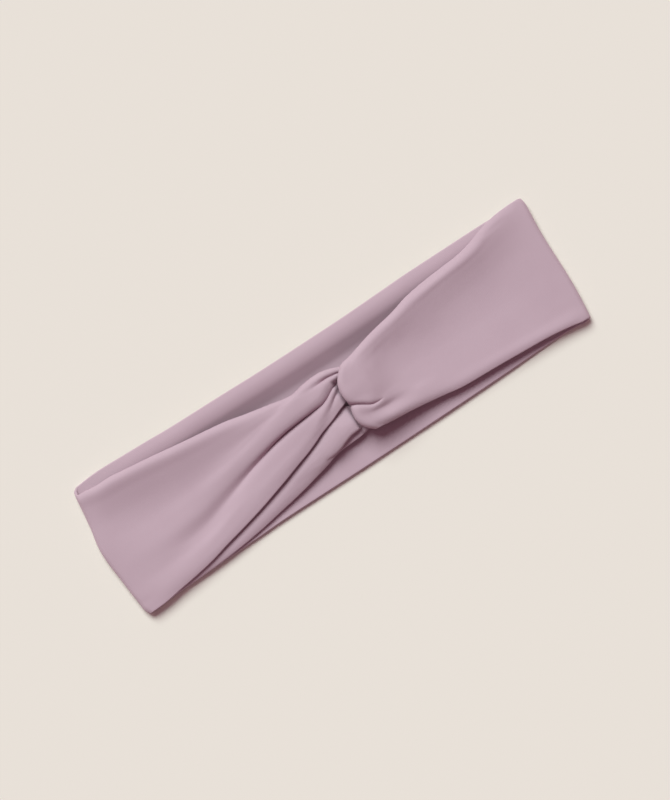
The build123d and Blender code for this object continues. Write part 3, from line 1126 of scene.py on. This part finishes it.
@dataclass(frozen=True)
class SeamThread:
    """The thread of a side seam: a row of lock stitches on the inside of the fold."""

    fold: SideFold
    stitch: float = 2.3
    pitch: float = 2.75
    thickness: float = 0.42
    height: float = 2.5
    reach_y: float = 29.0
    sunk: float = 0.12

    def build(self, node_name: str, holder: str | Bend) -> bpy.types.Object:
        """Makes the thread.

        Args:
            node_name: The CAD node that it takes the place of.
            holder: The body that it rides on, or a Bend, of which only the placement bake is done.

        Returns:
            The piece.
        """
        bpy.ops.object.select_all(action="DESELECT")
        stitches = []
        for y in np.arange(-self.reach_y, self.reach_y + 0.1, self.pitch):
            ahead, behind = self.fold.reach(np.array([y + SIDE_Y_STEP, y - SIDE_Y_STEP]))
            inward = self.fold.half_thickness + self.fold.groove + self.sunk
            x = (ahead + behind) / 2 - self.fold.side.value * inward
            bpy.ops.mesh.primitive_uv_sphere_add(
                segments=14, ring_count=10, radius=0.5, location=(mm(x), mm(y), mm(self.height)),
                scale=(mm(self.thickness), mm(self.stitch), mm(self.thickness)),
                rotation=(0, 0, math.atan2(behind - ahead, 2 * SIDE_Y_STEP)),
            )
            stitches.append(bpy.context.object)
        for stitch in stitches:
            stitch.select_set(True)
        bpy.context.view_layer.objects.active = stitches[0]
        bpy.ops.object.join()
        bpy.ops.object.transform_apply(location=True, rotation=True, scale=True)
        bpy.ops.object.shade_smooth()
        piece = bpy.context.object
        piece.name = f"{self.fold.side.name.lower()}_seam_thread"
        bpy.ops.object.select_all(action="DESELECT")
        if isinstance(holder, Bend):
            holder.apply(piece)
        else:
            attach(piece, holder)
        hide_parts(node_name)
        return piece


@dataclass
class Headband:
    """The headband's cloth: one run of surface from one strip's end, round the loop, to the other's."""

    thickness: float = PLY_PAIR
    row_step: float = 0.8
    columns_per_gap: int = 6
    unevenness: float = 0.07
    lowest: float = 0.02
    # a guess: the taper isn't known, and as plain rectangles the strips would be short of cloth at the knot
    strip_cut: Cut = Cut(length=268.0, width=63.0, waist=40.0)
    back_cut: Cut = Cut(length=121.0, width=64.0, waist=64.0)
    fold_cut: Cut = Cut(length=10.0, width=64.0, waist=64.0)

    def shells(self) -> dict[str, Shell]:
        """The cloth of each piece. Neighbours share their end rings, so that nothing shows between them."""
        left_fold, right_fold = SideFold(Side.LEFT), SideFold(Side.RIGHT)
        left, right = LeftStrip().net(left_fold), RightStrip().net(right_fold)
        back = BackBand().net(left_fold, right_fold)
        turned = left_fold.net(left[-1], back[0]), right_fold.net(right[0], back[-1])[::-1]
        net = np.concatenate([left, turned[0], back, turned[1], right])
        fold_start, fold_end = len(left) - 1, len(left) + len(turned[0])
        middle = len(left) + len(turned[0]) + len(back) // 2
        right_seam = len(net) - len(right) - 1 - right_fold.seam_station
        surface, rows = surface_through(net, self.row_step, self.columns_per_gap)
        surface = ripple(surface, self.unevenness)
        for pucker in PUCKERS:
            surface = pucker.press(surface)
        shell = shell_round(surface, self.thickness, self.back_cut.width)
        np.maximum(shell.points[..., 2], self.lowest, out=shell.points[..., 2])
        cuts = [0, rows[fold_start], rows[fold_end], rows[middle], rows[right_seam], len(surface) - 1]
        names = ("left_strip", "left_fold", "back_band_left", "back_band_right", "right_strip")
        return {name: shell.rows(a, b) for name, a, b in zip(names, cuts, cuts[1:])}

    def build(self) -> list[bpy.types.Object]:
        """Makes the pieces of cloth and hides the CAD parts that they replace.

        Returns:
            The pieces.
        """
        pieces = {name: mesh_from_shell(name, shell) for name, shell in self.shells().items()}
        bends = {
            "left_strip": Bend("front_left", "knot", (-70.0, 0.0, 0.0), (-26.0, 0.0, 0.0)),
            "left_fold": LEFT_FOLD_BEND,
            "back_band_left": Bend("back_left", "back_centre", (-72.0, 0.0, 0.0), (-37.0, 0.0, 0.0)),
            "back_band_right": Bend("back_centre", "back_right", (37.0, 0.0, 0.0), (72.0, 0.0, 0.0)),
            "right_strip": Bend("knot", "front_right", (26.0, 0.0, 0.0), (70.0, 0.0, 0.0)),
        }
        for name, bend in bends.items():
            bend.apply(pieces[name])
        replaced = {
            "left_strip": (
                "left_upper_leg_shell", "left_upper_leg_lining", "left_lower_leg_shell",
                "left_lower_leg_lining", "left_upper_gathers", "left_lower_gathers", "left_loop",
            ),
            "back_band_left": (
                "back_shell_left", "back_lining_left", "back_shell_centre", "back_lining_centre",
            ),
            "back_band_right": ("back_shell_right", "back_lining_right"),
            "right_strip": (
                "right_upper_leg_shell", "right_upper_leg_lining", "right_lower_leg_shell",
                "right_lower_leg_lining", "right_upper_gathers", "right_lower_gathers", "right_bend",
            ),
        }
        for name, nodes in replaced.items():
            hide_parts(*nodes)
        return list(pieces.values())


# ---------------------------------------------------------------------------------------------------------
# Floor, light and camera
# ---------------------------------------------------------------------------------------------------------


@dataclass(frozen=True)
class Studio:
    """A pale table, a large soft light from beyond the headband's top edge, and a camera straight above."""

    turn: float = math.radians(-33.24)
    centre: tuple[float, float] = (0.0030, 0.0017)
    height: float = 1.6
    view_height: float = 0.3616
    sensor: float = 36.0
    table_size: float = 6.0
    table_gap: float = 0.00005
    table_color: tuple[float, float, float] = (0.86, 0.805, 0.735)
    light_from: tuple[float, float, float] = (0.03, 1.0, 1.15)
    light_spread: float = math.radians(36)
    light_color: tuple[float, float, float] = (0.89, 1.0, 0.975)
    light_strength: float = 3.28
    room_color: tuple[float, float, float] = (1.0, 0.60, 0.70)
    room_strength: float = 0.24

    def floor(self) -> None:
        """Lays the table's surface."""
        bpy.ops.mesh.primitive_plane_add(size=self.table_size, location=(0, 0, -self.table_gap))
        table = bpy.context.object
        table.name = "table"
        material, tree, shader = new_material("pale_table")
        shader.inputs["Base Color"].default_value = (*self.table_color, 1.0)
        shader.inputs["Roughness"].default_value = 0.95
        shader.inputs["Specular IOR Level"].default_value = 0.0
        table.data.materials.append(material)

    def lights(self) -> None:
        """Hangs the soft light and sets the room's own light."""
        key = bpy.data.lights.new("soft_box", "SUN")
        key.angle = self.light_spread
        key.color = self.light_color
        key.energy = self.light_strength
        lamp = bpy.data.objects.new("soft_box", key)
        place = np.array(self.light_from)
        lamp.location = tuple(place)
        lamp.rotation_euler = Vector(-place).to_track_quat("-Z", "Y").to_euler()
        bpy.context.scene.collection.objects.link(lamp)
        world = bpy.data.worlds.new("room")
        world.use_nodes = True
        room = world.node_tree.nodes["Background"]
        room.inputs["Color"].default_value = (*self.room_color, 1.0)
        room.inputs["Strength"].default_value = self.room_strength
        bpy.context.scene.world = world

    def camera(self) -> None:
        """Sets the camera."""
        data = bpy.data.cameras.new("camera")
        data.sensor_width = self.sensor
        data.lens = self.sensor * self.height / self.view_height
        data.clip_end = 10.0
        eye = bpy.data.objects.new("camera", data)
        eye.location = (*self.centre, self.height)
        eye.rotation_euler = (0, 0, self.turn)
        bpy.context.scene.collection.objects.link(eye)
        bpy.context.scene.camera = eye


def dress_cad_nodes(thread: bpy.types.Material, label: bpy.types.Material) -> None:
    """Gives the CAD nodes that stay their finish.

    Args:
        thread: The material for the stitches.
        label: The material for the care label.
    """
    for name, material in (("care_label_stitches", thread), ("care_label", label)):
        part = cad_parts[name]
        part.data.materials.clear()
        part.data.materials.append(material)


def main() -> None:
    """Builds the headband, the table, the light and the camera."""
    logging.basicConfig(level=logging.INFO, format="%(name)s: %(message)s")
    bpy.ops.object.select_all(action="DESELECT")
    studio = Studio()
    studio.camera()
    studio.floor()
    studio.lights()
    bpy.context.scene.view_settings.view_transform = "Standard"
    knit = knit_group()
    jersey = MAUVE_JERSEY.material(knit)
    thread = MAUVE_THREAD.material()
    label = LABEL_SATIN.material(knit)
    pieces = Headband().build()
    for piece in pieces:
        piece.data.materials.append(jersey)
        LOG.info("%s: %d vertices", piece.name, len(piece.data.vertices))
    for side, holder in ((Side.LEFT, LEFT_FOLD_BEND), (Side.RIGHT, "back_right")):
        seam = SeamThread(SideFold(side)).build(f"{side.name.lower()}_side_seam", holder)
        seam.data.materials.clear()
        seam.data.materials.append(thread)
        LOG.info("%s: %d vertices", seam.name, len(seam.data.vertices))
    dress_cad_nodes(thread, label)


if __name__ == "__main__":
    main()
